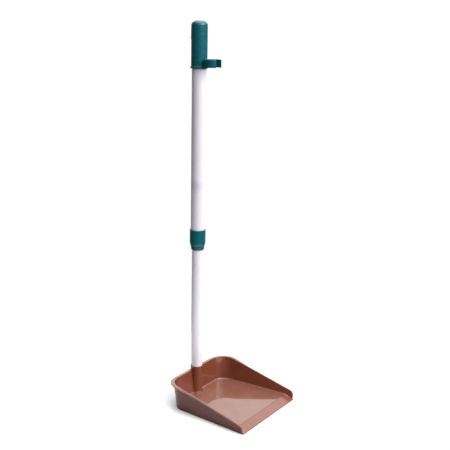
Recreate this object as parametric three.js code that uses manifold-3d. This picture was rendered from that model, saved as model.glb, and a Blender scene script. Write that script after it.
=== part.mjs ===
// Long-handled dustpan: a moulded pan with a socket in its back wall, a two-part
// telescopic pole with a twist lock inside it, and a moulded grip that carries a
// broom clip in front and a hanging flap behind.
//
// Millimetres, +Z up. The origin is on the floor under the pole's axis. The pan's
// mouth faces -Y, and the object is symmetric about the plane X = 0.

import * as THREE from "three";
import { mergeVertices } from "three/addons/utils/BufferGeometryUtils.js";
import Module from "manifold-3d";

const wasm = await Module();
wasm.setup();

// ---------------------------------------------------------------- clearances
const ASSEMBLY_GAP = 0.3; // between pieces that are pushed or screwed together
const STOP_GAP = 0.5; // between the expander and the bush that it stops on
const OVERSHOOT = 2; // how far a cutting tool runs past the face that it opens

// ---------------------------------------------------------------------- pan
const PAN_BACK_HALF = 89.5; // half of the outside width on the floor, at the back
const PAN_FRONT_HALF = 97; // half of the outside width on the floor, at the lip
const PAN_BACK_Y = -2; // outside of the back wall on the floor
const PAN_DEPTH = 191.5; // from there to the edge of the lip
const PAN_WALL = 2.2;
const PAN_CORNER_RADIUS = 29; // outside of the two back corners, seen from above
const PAN_DRAFT = 0.118; // how far a wall leans out for each millimetre of height
const RIM_BACK_HEIGHT = 55.7;
const RIM_FRONT_HEIGHT = 17.8;
const RIM_LEVEL_LENGTH = 24.4; // level part of the rim, forward of the back wall
const NOSE_RADIUS = 11; // round front end of each side wall
const NOSE_SETBACK = 2; // from the edge of the lip back to the side wall's end
const FLANGE_THICKNESS = 2;
const FLANGE_BACK_WIDTH = 6.5;
const FLANGE_SIDE_WIDTH = 1.3;
const FLANGE_FADE_LENGTH = 45; // along the side, from the wide to the narrow flange
const FLOOR_THICKNESS = 2.2;
const FLOOR_BACK_HEIGHT = 3.8; // top of the floor at the back wall
const FLOOR_FOLD_HEIGHT = 8; // top of the floor where the lip turns down
const LIP_LENGTH = 20.4; // from the fold to the edge
const LIP_EDGE = 1.2; // thickness of the edge
const LIP_FLAT = 4; // flat strip under the edge that rests on the floor

// ------------------------------------------------------------------- socket
const SOCKET_PROUD = 9; // above the rim
const SOCKET_WALL = 1.3;
const SOCKET_FLOOR = 3;
const SCREW_HEIGHT = 28;
const SCREW_BOSS_RADIUS = 5;
const SCREW_BOSS_PROUD = 0.6; // flat face of the boss behind the socket
const SCREW_SHANK_RADIUS = 1.5;
const SCREW_HEAD_RADIUS = 3.4;
const SCREW_HEAD_HEIGHT = 2.3;
const SCREW_HEAD_RIM = 0.8; // straight part of the head's side
const SCREW_REACH = 5; // of the point inside the tube's wall
const SCREW_SLOT_WIDTH = 0.9;
const SCREW_SLOT_DEPTH = 1.1;
const SCREW_SLOT_REACH = 2; // of the cross slot from the screw's axis

// --------------------------------------------------------------------- pole
const OVERALL_HEIGHT = 800; // with the pole at its longest
const UPPER_TUBE_RADIUS = 15;
const TUBE_WALL = 0.7;
const UPPER_TUBE_LENGTH = 408;
const BUSH_WALL = 1.5; // of the guide bush, between the two tubes
const BUSH_SPIGOT_LENGTH = 38; // of the guide bush inside the upper tube
const COLLAR_WALL = 1.6; // over the upper tube
const COLLAR_ABOVE_FOOT = 29; // from the tube's end up to the collar's top
const COLLAR_LEDGE = 5.5; // below the tube's end: the step that the tube rests on
const COLLAR_TAPER_HEIGHT = 4; // above the tube's end: where the taper starts
const COLLAR_TAPER_FULLNESS = 0.68; // share of the narrowing still to come halfway down
const COLLAR_SPLIT_WALL = 1; // wall of the collar where it meets the bush
const BUSH_NOSE_LENGTH = 9;
const BUSH_NOSE_WALL = 0.6; // at the lower edge, around the lower tube
const EDGE_BREAK = 0.8; // small chamfers

// --------------------------------------------------------------- twist lock
const PLUG_LENGTH = 24; // inside the lower tube
const PLUG_HEAD_LENGTH = 3;
const CONE_FOOT_RADIUS = 5;
const CONE_TOP_RADIUS = 7.5;
const CONE_OVERRUN = 2; // of the cone above the expander
const EXPANDER_LENGTH = 20;
const EXPANDER_SLOT = 2.4;
const EXPANDER_GROOVE = 0.6;
const EXPANDER_GROOVES = 4;

// --------------------------------------------------------------------- grip
const GRIP_LENGTH = 93.5;
const GRIP_WALL = 1.4; // over the upper tube
const DOME_HEIGHT = 9;
const DOME_SQUARENESS = 0.7; // of a dome: 1 is a quarter ellipse, less is fuller
const FOOT_RING_PROUD = 1.5;
const FOOT_RING_HEIGHT = 4;
const GRIP_CORE_WALL = 3.3; // around the hollow core above the tube
const GRIP_SEAT_ROOF = 2.3; // between the tube's seat and the scoop above it
const GRIP_TOP_WALL = 3;
const FLAP_LENGTH = 29; // free length of the hanging flap
const FLAP_TOP_DROP = 9; // from the top of the grip down to the flap's root
const FLAP_HALF_ANGLE = 80; // degrees to each side of +Y
const FLAP_THICKNESS = 2.8;
const FLAP_SLOT = 2.6; // between the flap and the core
const FLAP_SLIT = 0.9; // along the flap's sides and under its end
const FLAP_PROUD = 0.6; // outward flare of the flap's end
const ENTRY_HALF_ANGLE = 25; // of the scoop that leads a hook under the flap
const ENTRY_LENGTH = 6.5;

// --------------------------------------------------------------- broom clip
const CLIP_BORE = 14.4;
const CLIP_WALL = 2.9;
const CLIP_LIFT = 2.8; // foot of the clip above the foot of the grip
const CLIP_HEIGHT = 16;
const CLIP_MOUTH_HALF = 7.4;
const CLIP_WEB_HALF = 8.5;
const CLIP_BITE = 0.3; // how far the ring and its web run into the grip's barrel

// -------------------------------------------------------------- fineness
const ROUND_SEGMENTS = 48;
const SMALL_ROUND_SEGMENTS = 24;
const CORNER_SEGMENTS = 10;
const SIDE_SEGMENTS = 12;

// ------------------------------------------------------- sizes worked out
const GRIP_FOOT = OVERALL_HEIGHT - GRIP_LENGTH;
const GRIP_RADIUS = UPPER_TUBE_RADIUS + ASSEMBLY_GAP + GRIP_WALL;
const FLAP_TOP = OVERALL_HEIGHT - FLAP_TOP_DROP;
const FLAP_FOOT = FLAP_TOP - FLAP_LENGTH;
const FLAP_BORE = GRIP_RADIUS - FLAP_THICKNESS;
const SLIT_FOOT = FLAP_FOOT - FLAP_SLIT;
const ENTRY_FOOT = SLIT_FOOT - ENTRY_LENGTH;
const GRIP_CORE_RADIUS = FLAP_BORE - FLAP_SLOT;
const GRIP_SEAT_TOP = ENTRY_FOOT - GRIP_SEAT_ROOF;
const UPPER_TUBE_TOP = GRIP_SEAT_TOP - ASSEMBLY_GAP;
const UPPER_TUBE_FOOT = UPPER_TUBE_TOP - UPPER_TUBE_LENGTH;
const UPPER_TUBE_BORE = UPPER_TUBE_RADIUS - TUBE_WALL;
const SPIGOT_RADIUS = UPPER_TUBE_BORE - ASSEMBLY_GAP;
const BUSH_BORE = SPIGOT_RADIUS - BUSH_WALL;
const LOWER_TUBE_RADIUS = BUSH_BORE - ASSEMBLY_GAP;
const LOWER_TUBE_FOOT = SOCKET_FLOOR + ASSEMBLY_GAP;
const PAN_LIP_Y = PAN_BACK_Y - PAN_DEPTH;
const SOCKET_BORE = LOWER_TUBE_RADIUS + ASSEMBLY_GAP;
const SOCKET_RADIUS = SOCKET_BORE + SOCKET_WALL;
const SOCKET_HEIGHT = RIM_BACK_HEIGHT + SOCKET_PROUD;
const SPIGOT_TOP = UPPER_TUBE_FOOT + BUSH_SPIGOT_LENGTH;
const COLLAR_RADIUS = UPPER_TUBE_RADIUS + ASSEMBLY_GAP + COLLAR_WALL;
const COLLAR_TOP = UPPER_TUBE_FOOT + COLLAR_ABOVE_FOOT;
const COLLAR_FOOT = UPPER_TUBE_FOOT - COLLAR_LEDGE;
const COLLAR_LEDGE_BORE = SPIGOT_RADIUS + ASSEMBLY_GAP / 2;
const EXPANDER_FOOT = SPIGOT_TOP + STOP_GAP;
const EXPANDER_TOP = EXPANDER_FOOT + EXPANDER_LENGTH;
const CONE_TOP = EXPANDER_TOP + CONE_OVERRUN;
const PLUG_HEAD_TOP = EXPANDER_FOOT - ASSEMBLY_GAP;
const LOWER_TUBE_TOP = PLUG_HEAD_TOP - PLUG_HEAD_LENGTH - ASSEMBLY_GAP;
const CLIP_OUTSIDE = CLIP_BORE + CLIP_WALL;
const CLIP_CENTRE_Y = -(GRIP_RADIUS + CLIP_OUTSIDE - CLIP_BITE);

// ------------------------------------------------------------ small helpers

// A closed geometry as a solid that can be cut and joined.
function solid(geometry) {
  const bare = geometry.clone();
  bare.deleteAttribute("normal");
  bare.deleteAttribute("uv");
  const merged = mergeVertices(bare, 1e-4);
  return new wasm.Manifold(
    new wasm.Mesh({
      numProp: 3,
      vertProperties: merged.attributes.position.array,
      triVerts: new Uint32Array(merged.index.array),
    }),
  );
}

// The surface of a solid as a geometry.
function surface(body) {
  const mesh = body.getMesh();
  const geometry = new THREE.BufferGeometry();
  geometry.setAttribute("position", new THREE.BufferAttribute(mesh.vertProperties, 3));
  geometry.setIndex(new THREE.BufferAttribute(mesh.triVerts, 1));
  geometry.computeVertexNormals();
  return geometry;
}

// Turns a profile of [radius, height] points, listed upwards on its outside, about +Z.
function turned(profile, segments = ROUND_SEGMENTS) {
  const points = profile.map(([radius, height]) => new THREE.Vector2(radius, height));
  return new THREE.LatheGeometry(points, segments).rotateX(Math.PI / 2);
}

// A hollow turned piece: the profile closes on itself, outside first.
function turnedRing(outside, inside, segments = ROUND_SEGMENTS) {
  const profile = [...outside, ...inside];
  return turned([...profile, profile[0]], segments);
}

// A round bar along +Z between two heights.
function bar(radius, low, high, segments = ROUND_SEGMENTS) {
  return turned([[0, low], [radius, low], [radius, high], [0, high]], segments);
}

// Profile of a dome, from the top of a straight side to the middle of the crown.
function dome(radius, low, high) {
  const points = [];
  for (let i = 0; i < CORNER_SEGMENTS; i++) {
    const angle = (Math.PI / 2) * (i / CORNER_SEGMENTS);
    points.push([radius * Math.cos(angle) ** DOME_SQUARENESS, low + (high - low) * Math.sin(angle)]);
  }
  return [...points, [0, high]];
}

// A plan outline of [x, y] points carried up from one height to another.
function upright(points, low, high) {
  const shape = new THREE.Shape(points.map(([x, y]) => new THREE.Vector2(x, y)));
  const geometry = new THREE.ExtrudeGeometry(shape, { depth: high - low, bevelEnabled: false });
  return geometry.translate(0, 0, low);
}

// A side outline of [y, z] points carried across the object, from -half to +half in X.
function across(points, half) {
  const shape = new THREE.Shape(points.map(([y, z]) => new THREE.Vector2(y, z)));
  const geometry = new THREE.ExtrudeGeometry(shape, { depth: 2 * half, bevelEnabled: false });
  const turn = new THREE.Matrix4().makeBasis(
    new THREE.Vector3(0, 1, 0),
    new THREE.Vector3(0, 0, 1),
    new THREE.Vector3(1, 0, 0),
  );
  return geometry.applyMatrix4(turn).translate(-half, 0, 0);
}

// A block given by its lowest and highest corners.
function block(low, high) {
  const size = high.map((value, axis) => value - low[axis]);
  const centre = high.map((value, axis) => (value + low[axis]) / 2);
  return new THREE.BoxGeometry(...size).translate(...centre);
}

// A wedge of the space round the axis, centred on +Y, between two heights.
function sector(halfAngle, radius, low, high) {
  const half = THREE.MathUtils.degToRad(halfAngle);
  const points = [[0, 0]];
  for (let i = 0; i <= ROUND_SEGMENTS; i++) {
    const angle = Math.PI / 2 - half + (2 * half * i) / ROUND_SEGMENTS;
    points.push([radius * Math.cos(angle), radius * Math.sin(angle)]);
  }
  return upright(points, low, high);
}

// A named mesh with its own plain material.
function piece(name, body, finish) {
  const mesh = new THREE.Mesh(surface(body), new THREE.MeshStandardMaterial(finish));
  mesh.name = name;
  return mesh;
}

// ---------------------------------------------------------------------- pan

// Half of the pan's outside width on the floor, at a place along its depth.
function panHalf(y) {
  const share = (PAN_BACK_Y - y) / PAN_DEPTH;
  return PAN_BACK_HALF + (PAN_FRONT_HALF - PAN_BACK_HALF) * share;
}

// The pan's plan outline on the floor, grown by an offset: along the right side,
// round the two back corners, and down the left side. The front end is extra longer.
function panOutline(offset, extra) {
  const centreY = PAN_BACK_Y - PAN_CORNER_RADIUS;
  const frontY = PAN_LIP_Y - extra;
  const right = [];
  for (let i = 0; i < SIDE_SEGMENTS; i++) {
    const y = frontY + ((centreY - frontY) * i) / SIDE_SEGMENTS;
    right.push([panHalf(y) + offset, y]);
  }
  const radius = PAN_CORNER_RADIUS + offset;
  const centreX = panHalf(centreY) - PAN_CORNER_RADIUS;
  for (let i = 0; i <= CORNER_SEGMENTS; i++) {
    const angle = (Math.PI / 2) * (i / CORNER_SEGMENTS);
    right.push([centreX + radius * Math.cos(angle), centreY + radius * Math.sin(angle)]);
  }
  const left = right.map(([x, y]) => [-x, y]).reverse();
  return [...right, ...left];
}

// Moves each vertex of an upright pan outline outwards, by a distance that depends
// on its height and its place along the depth.
function pushOut(geometry, distance) {
  const place = geometry.attributes.position;
  const centreY = PAN_BACK_Y - PAN_CORNER_RADIUS;
  const centreX = panHalf(centreY) - PAN_CORNER_RADIUS;
  for (let i = 0; i < place.count; i++) {
    const x = place.getX(i);
    const y = place.getY(i);
    const z = place.getZ(i);
    const outY = Math.max(y - centreY, 0);
    const outX = outY > 0 ? Math.max(Math.abs(x) - centreX, 0) : 1;
    const length = Math.hypot(outX, outY);
    const step = distance(y, z) / length;
    place.setXYZ(i, x + Math.sign(x) * outX * step, y + outY * step, z);
  }
  return geometry;
}

// The rim as seen from the side, from the back to the foot of the nose, lowered by a drop.
function rimProfile(drop) {
  const backY = PAN_BACK_Y + FLANGE_BACK_WIDTH + RIM_BACK_HEIGHT * PAN_DRAFT + OVERSHOOT;
  const levelY = PAN_BACK_Y - RIM_LEVEL_LENGTH;
  const noseY = PAN_LIP_Y + NOSE_SETBACK;
  const slope = Math.atan2(RIM_BACK_HEIGHT - RIM_FRONT_HEIGHT, levelY - noseY);
  const points = [[backY, RIM_BACK_HEIGHT - drop], [levelY, RIM_BACK_HEIGHT - drop]];
  const centreY = noseY + NOSE_RADIUS;
  const touchY = centreY - NOSE_RADIUS * Math.sin(slope);
  const touchZ = RIM_FRONT_HEIGHT + (touchY - noseY) * Math.tan(slope);
  const centreZ = touchZ - NOSE_RADIUS * Math.cos(slope);
  for (let i = 0; i <= CORNER_SEGMENTS; i++) {
    const angle = Math.PI / 2 + slope + ((Math.PI / 2 - slope) * i) / CORNER_SEGMENTS;
    points.push([
      centreY + NOSE_RADIUS * Math.cos(angle),
      centreZ + NOSE_RADIUS * Math.sin(angle) - drop,
    ]);
  }
  return points;
}

// Everything under the rim, right across the pan.
function underRim(drop) {
  const rim = rimProfile(drop);
  const backY = rim[0][0];
  const noseY = rim[rim.length - 1][0];
  const half = PAN_FRONT_HALF + FLANGE_BACK_WIDTH + RIM_BACK_HEIGHT * PAN_DRAFT;
  return solid(across([[noseY, 0], [backY, 0], ...rim], half + OVERSHOOT));
}

// Width of the flange at a place along the depth: wide at the back, narrow on the sides.
function flangeWidth(y) {
  const fadeStart = PAN_BACK_Y - PAN_CORNER_RADIUS;
  const share = THREE.MathUtils.smoothstep(fadeStart - y, 0, FLANGE_FADE_LENGTH);
  return THREE.MathUtils.lerp(FLANGE_BACK_WIDTH, FLANGE_SIDE_WIDTH, share);
}

// The floor as seen from the side: one plane up to the fold, then the lip down to its edge.
function panFloor() {
  const backY = PAN_BACK_Y;
  const foldY = PAN_LIP_Y + LIP_LENGTH;
  const lipSlope = (FLOOR_FOLD_HEIGHT - LIP_EDGE) / LIP_LENGTH;
  const under = FLOOR_THICKNESS * Math.hypot(1, lipSlope);
  const flatTopHeight = LIP_EDGE + LIP_FLAT * lipSlope;
  const points = [
    [PAN_LIP_Y, 0],
    [PAN_LIP_Y + LIP_FLAT, Math.max(flatTopHeight - under, 0)],
    [foldY, FLOOR_FOLD_HEIGHT - under],
    [backY, FLOOR_BACK_HEIGHT - FLOOR_THICKNESS],
    [backY, FLOOR_BACK_HEIGHT],
    [foldY, FLOOR_FOLD_HEIGHT],
    [PAN_LIP_Y, LIP_EDGE],
  ];
  return solid(across(points, PAN_FRONT_HALF + OVERSHOOT));
}

// The socket's outside with the flat boss that the screw's head bears on.
function socketBody() {
  const body = solid(bar(SOCKET_RADIUS, 0, SOCKET_HEIGHT));
  const boss = bar(SCREW_BOSS_RADIUS, SOCKET_BORE, SOCKET_RADIUS + SCREW_BOSS_PROUD);
  return body.add(solid(boss.rotateX(-Math.PI / 2).translate(0, 0, SCREW_HEIGHT)));
}

// The hole for the screw's shank, along +Y through whatever lies behind the axis.
function screwHole() {
  const reach = SOCKET_RADIUS + SCREW_BOSS_PROUD + OVERSHOOT;
  const hole = bar(SCREW_SHANK_RADIUS + ASSEMBLY_GAP, 0, reach, SMALL_ROUND_SEGMENTS);
  return solid(hole.rotateX(-Math.PI / 2).translate(0, 0, SCREW_HEIGHT));
}

function makePan() {
  const lean = (y, z) => PAN_DRAFT * z;
  const flare = (y, z) => PAN_DRAFT * z + flangeWidth(y);
  const top = RIM_BACK_HEIGHT + OVERSHOOT;
  const outside = solid(pushOut(upright(panOutline(0, 0), 0, top), lean));
  const tool = upright(panOutline(-PAN_WALL, OVERSHOOT), -OVERSHOOT, top + OVERSHOOT);
  const inside = solid(pushOut(tool, lean));
  const flared = solid(pushOut(upright(panOutline(0, 0), 0, top), flare));
  const walls = outside.intersect(underRim(0));
  const flange = flared.intersect(underRim(0)).subtract(underRim(FLANGE_THICKNESS));
  const shell = walls.add(flange).subtract(inside);
  const floor = panFloor().intersect(outside);
  const bore = solid(bar(SOCKET_BORE, SOCKET_FLOOR, SOCKET_HEIGHT + OVERSHOOT));
  return shell.add(floor).add(socketBody()).subtract(bore).subtract(screwHole());
}

// --------------------------------------------------------------------- pole

// A thin tube between two heights.
function tube(radius, low, high) {
  const bore = radius - TUBE_WALL;
  return solid(turnedRing([[radius, low], [radius, high]], [[bore, high], [bore, low]]));
}

function makeLowerTube() {
  return tube(LOWER_TUBE_RADIUS, LOWER_TUBE_FOOT, LOWER_TUBE_TOP).subtract(screwHole());
}

function makeUpperTube() {
  return tube(UPPER_TUBE_RADIUS, UPPER_TUBE_FOOT, UPPER_TUBE_TOP);
}

// Self-tapping screw with a domed head and a cross slot, driven in along -Y.
function makeSocketScrew() {
  const seat = SOCKET_RADIUS + SCREW_BOSS_PROUD + ASSEMBLY_GAP;
  const point = LOWER_TUBE_RADIUS - TUBE_WALL - SCREW_REACH;
  const crown = seat + SCREW_HEAD_HEIGHT;
  const profile = [
    [0, point],
    [SCREW_SHANK_RADIUS, point + SCREW_SHANK_RADIUS],
    [SCREW_SHANK_RADIUS, seat],
    [SCREW_HEAD_RADIUS, seat],
    ...dome(SCREW_HEAD_RADIUS, seat + SCREW_HEAD_RIM, crown),
  ];
  const reach = SCREW_SLOT_REACH;
  const half = SCREW_SLOT_WIDTH / 2;
  const slotFoot = crown - SCREW_SLOT_DEPTH;
  const slotTop = crown + OVERSHOOT;
  const slots = solid(block([-reach, -half, slotFoot], [reach, half, slotTop])).add(
    solid(block([-half, -reach, slotFoot], [half, reach, slotTop])),
  );
  const screw = solid(turned(profile, SMALL_ROUND_SEGMENTS)).subtract(slots);
  return solid(surface(screw).rotateX(-Math.PI / 2).translate(0, 0, SCREW_HEIGHT));
}

// Bush that guides the lower tube: a tapered nose below the collar, a neck through it
// and a spigot inside the upper tube.
function makeGuideBush() {
  const noseFoot = COLLAR_FOOT - BUSH_NOSE_LENGTH;
  const noseTop = COLLAR_FOOT - ASSEMBLY_GAP;
  const neck = COLLAR_LEDGE_BORE - ASSEMBLY_GAP;
  const shoulder = UPPER_TUBE_FOOT;
  const outside = [
    [BUSH_BORE + BUSH_NOSE_WALL, noseFoot],
    [BUSH_BORE + BUSH_NOSE_WALL + EDGE_BREAK, noseFoot + EDGE_BREAK],
    [COLLAR_LEDGE_BORE + COLLAR_SPLIT_WALL - ASSEMBLY_GAP / 2, noseTop],
    [neck, noseTop],
    [neck, shoulder],
    [SPIGOT_RADIUS, shoulder],
    [SPIGOT_RADIUS, SPIGOT_TOP - EDGE_BREAK],
    [SPIGOT_RADIUS - EDGE_BREAK / 2, SPIGOT_TOP],
  ];
  return solid(turnedRing(outside, [[BUSH_BORE, SPIGOT_TOP], [BUSH_BORE, noseFoot]]));
}

// Collar over the lower end of the upper tube, which rests on a ledge inside it.
function makeCollar() {
  const bore = UPPER_TUBE_RADIUS + ASSEMBLY_GAP;
  const ledgeTop = UPPER_TUBE_FOOT - ASSEMBLY_GAP;
  const taperTop = UPPER_TUBE_FOOT + COLLAR_TAPER_HEIGHT;
  const splitRadius = COLLAR_LEDGE_BORE + COLLAR_SPLIT_WALL;
  const middle = (COLLAR_FOOT + taperTop) / 2;
  const outside = [
    [splitRadius, COLLAR_FOOT],
    [THREE.MathUtils.lerp(splitRadius, COLLAR_RADIUS, COLLAR_TAPER_FULLNESS), middle],
    [COLLAR_RADIUS, taperTop],
    [COLLAR_RADIUS, COLLAR_TOP - EDGE_BREAK],
    [COLLAR_RADIUS - EDGE_BREAK, COLLAR_TOP],
  ];
  const inside = [
    [bore, COLLAR_TOP],
    [bore, ledgeTop],
    [COLLAR_LEDGE_BORE, ledgeTop],
    [COLLAR_LEDGE_BORE, COLLAR_FOOT],
  ];
  return solid(turnedRing(outside, inside));
}

// --------------------------------------------------------------- twist lock

// Radius of the lock's cone at a height: it widens upwards, so that the expander
// spreads as it climbs.
function coneRadius(height) {
  const share = (height - PLUG_HEAD_TOP) / (CONE_TOP - PLUG_HEAD_TOP);
  return CONE_FOOT_RADIUS + (CONE_TOP_RADIUS - CONE_FOOT_RADIUS) * share;
}

// Plug pressed into the top of the lower tube, with the cone standing on its head.
function makeLockPlug() {
  const plugRadius = LOWER_TUBE_RADIUS - TUBE_WALL - ASSEMBLY_GAP;
  const plugTop = PLUG_HEAD_TOP - PLUG_HEAD_LENGTH;
  const plugFoot = plugTop - PLUG_LENGTH;
  const profile = [
    [0, plugFoot],
    [plugRadius - EDGE_BREAK, plugFoot],
    [plugRadius, plugFoot + EDGE_BREAK],
    [plugRadius, plugTop],
    [LOWER_TUBE_RADIUS, plugTop],
    [LOWER_TUBE_RADIUS, PLUG_HEAD_TOP],
    [CONE_FOOT_RADIUS, PLUG_HEAD_TOP],
    [CONE_TOP_RADIUS, CONE_TOP],
    [0, CONE_TOP],
  ];
  return solid(turned(profile));
}

// Slotted sleeve on the cone, which grips the upper tube from inside when it spreads.
function makeLockExpander() {
  const outside = [[SPIGOT_RADIUS, EXPANDER_FOOT]];
  const pitch = EXPANDER_LENGTH / (EXPANDER_GROOVES + 1);
  for (let i = 1; i <= EXPANDER_GROOVES; i++) {
    const height = EXPANDER_FOOT + pitch * i;
    outside.push([SPIGOT_RADIUS, height - EXPANDER_GROOVE]);
    outside.push([SPIGOT_RADIUS - EXPANDER_GROOVE, height]);
    outside.push([SPIGOT_RADIUS, height + EXPANDER_GROOVE]);
  }
  outside.push([SPIGOT_RADIUS, EXPANDER_TOP]);
  const inside = [
    [coneRadius(EXPANDER_TOP) + ASSEMBLY_GAP, EXPANDER_TOP],
    [coneRadius(EXPANDER_FOOT) + ASSEMBLY_GAP, EXPANDER_FOOT],
  ];
  const half = EXPANDER_SLOT / 2;
  const slot = block(
    [-half, -SPIGOT_RADIUS - OVERSHOOT, EXPANDER_FOOT - OVERSHOOT],
    [half, 0, EXPANDER_TOP + OVERSHOOT],
  );
  return solid(turnedRing(outside, inside)).subtract(solid(slot));
}

// --------------------------------------------------------------------- grip

// Outside of the grip: a foot ring, a plain barrel and a domed top.
function gripBarrel() {
  const ring = GRIP_RADIUS + FOOT_RING_PROUD;
  const profile = [
    [0, GRIP_FOOT],
    [ring - EDGE_BREAK, GRIP_FOOT],
    [ring, GRIP_FOOT + EDGE_BREAK],
    [ring, GRIP_FOOT + FOOT_RING_HEIGHT - EDGE_BREAK],
    [GRIP_RADIUS, GRIP_FOOT + FOOT_RING_HEIGHT],
    ...dome(GRIP_RADIUS, OVERALL_HEIGHT - DOME_HEIGHT, OVERALL_HEIGHT),
  ];
  return solid(turned(profile));
}

// Hollow inside of the grip: the tube's seat, and a narrower core above it.
function gripHollow() {
  const seatRadius = UPPER_TUBE_RADIUS + ASSEMBLY_GAP;
  const coreBore = GRIP_CORE_RADIUS - GRIP_CORE_WALL;
  const coreTop = OVERALL_HEIGHT - DOME_HEIGHT - GRIP_TOP_WALL;
  const profile = [
    [0, GRIP_FOOT - OVERSHOOT],
    [seatRadius, GRIP_FOOT - OVERSHOOT],
    [seatRadius, GRIP_SEAT_TOP],
    [coreBore, GRIP_SEAT_TOP],
    [coreBore, coreTop],
    [0, coreTop],
  ];
  return solid(turned(profile));
}

// A part-turned piece centred on +Y: what lies within an angle to each side of it.
function turnedPart(halfAngle, outside, inside) {
  const heights = [...outside, ...inside].map(([, height]) => height);
  const low = Math.min(...heights) - OVERSHOOT;
  const high = Math.max(...heights) + OVERSHOOT;
  const wedge = sector(halfAngle, GRIP_RADIUS * 2, low, high);
  return solid(turnedRing(outside, inside)).intersect(solid(wedge));
}

// The small flare on the free end of the hanging flap.
function flapFlare() {
  const outside = [[GRIP_RADIUS + FLAP_PROUD, FLAP_FOOT], [GRIP_RADIUS, FLAP_TOP]];
  const inside = [[FLAP_BORE, FLAP_TOP], [FLAP_BORE, FLAP_FOOT]];
  return turnedPart(FLAP_HALF_ANGLE, outside, inside);
}

// What is cut away to free the flap: the slot behind it, a slit along each side and under
// its end, and the scoop that leads a hook in from below.
function flapCuts() {
  const reach = GRIP_RADIUS + FLAP_PROUD + OVERSHOOT;
  const core = GRIP_CORE_RADIUS;
  const slot = turnedPart(
    FLAP_HALF_ANGLE,
    [[FLAP_BORE, SLIT_FOOT], [FLAP_BORE, FLAP_TOP]],
    [[core, FLAP_TOP], [core, SLIT_FOOT]],
  );
  const underEnd = turnedPart(
    FLAP_HALF_ANGLE,
    [[reach, SLIT_FOOT], [reach, FLAP_FOOT]],
    [[core, FLAP_FOOT], [core, SLIT_FOOT]],
  );
  const scoop = turnedPart(
    ENTRY_HALF_ANGLE,
    [[reach, ENTRY_FOOT], [reach, FLAP_FOOT]],
    [[core, FLAP_FOOT], [core, SLIT_FOOT], [GRIP_RADIUS, ENTRY_FOOT]],
  );
  let cuts = slot.add(underEnd).add(scoop);
  for (const side of [-1, 1]) {
    const slit = block([core, -FLAP_SLIT / 2, SLIT_FOOT], [reach, FLAP_SLIT / 2, FLAP_TOP]);
    const turn = THREE.MathUtils.degToRad(90 + side * FLAP_HALF_ANGLE);
    cuts = cuts.add(solid(slit.rotateZ(turn)));
  }
  return cuts;
}

// Open ring that snaps onto a broom's pole, with a web that joins it to the grip's foot.
function broomClip() {
  const foot = GRIP_FOOT + CLIP_LIFT;
  const top = foot + CLIP_HEIGHT;
  const ring = solid(bar(CLIP_OUTSIDE, foot, top));
  const mouthReach = CLIP_OUTSIDE + OVERSHOOT;
  const mouth = block(
    [-CLIP_MOUTH_HALF, -mouthReach, foot - OVERSHOOT],
    [CLIP_MOUTH_HALF, 0, top + OVERSHOOT],
  );
  const bore = solid(bar(CLIP_BORE, foot - OVERSHOOT, top + OVERSHOOT));
  const middle = CLIP_BORE + CLIP_WALL / 2;
  const tipX = CLIP_MOUTH_HALF + CLIP_WALL / 2;
  const tipY = -Math.sqrt(middle ** 2 - tipX ** 2);
  const webEnd = -CLIP_CENTRE_Y - Math.sqrt(GRIP_RADIUS ** 2 - CLIP_WEB_HALF ** 2) + CLIP_BITE;
  const web = solid(block([-CLIP_WEB_HALF, 0, foot], [CLIP_WEB_HALF, webEnd, top]));
  let clip = ring.subtract(solid(mouth)).add(web).subtract(bore);
  for (const side of [-1, 1]) {
    const tip = bar(CLIP_WALL / 2, foot, top, SMALL_ROUND_SEGMENTS).translate(side * tipX, tipY, 0);
    clip = clip.add(solid(tip));
  }
  return clip.translate([0, CLIP_CENTRE_Y, 0]);
}

function makeGrip() {
  const shell = gripBarrel().add(flapFlare()).add(broomClip());
  return shell.subtract(gripHollow()).subtract(flapCuts());
}

// ----------------------------------------------------------------- the object
const BROWN_PLASTIC = { color: 0x8a5a4b, roughness: 0.25 };
const WHITE_COATING = { color: 0xe4e4ec, roughness: 0.35 };
const TEAL_PLASTIC = { color: 0x0f6069, roughness: 0.4 };
const IVORY_PLASTIC = { color: 0xd9d6cc, roughness: 0.5 };
const ZINC_PLATING = { color: 0xb9bcc0, roughness: 0.35, metalness: 1 };

const foot = new THREE.Group();
foot.add(piece("pan", makePan(), BROWN_PLASTIC));
foot.add(piece("lower_tube", makeLowerTube(), WHITE_COATING));
foot.add(piece("socket_screw", makeSocketScrew(), ZINC_PLATING));
foot.add(piece("lock_plug", makeLockPlug(), IVORY_PLASTIC));

const lock = new THREE.Group();
lock.add(piece("lock_expander", makeLockExpander(), IVORY_PLASTIC));

const upper = new THREE.Group();
upper.add(piece("upper_tube", makeUpperTube(), WHITE_COATING));
upper.add(piece("guide_bush", makeGuideBush(), TEAL_PLASTIC));
upper.add(piece("collar", makeCollar(), TEAL_PLASTIC));
upper.add(piece("grip", makeGrip(), TEAL_PLASTIC));

lock.add(upper);
const dustpan = new THREE.Group();
dustpan.add(foot, lock);

export default dustpan;
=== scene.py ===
"""Looks of a long-handled dustpan: a moulded pan, a telescopic coated pole and a moulded grip.

Lengths inside the classes are millimetres, and every mesh is put down in metres in the
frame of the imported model: +Z up, the origin on the floor under the pole's axis, and the
pan's mouth towards -Y.
"""

import logging
import math
from dataclasses import dataclass, field
from enum import Enum
from typing import Any

import bpy
import numpy as np
from mathutils import Matrix, Vector


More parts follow.
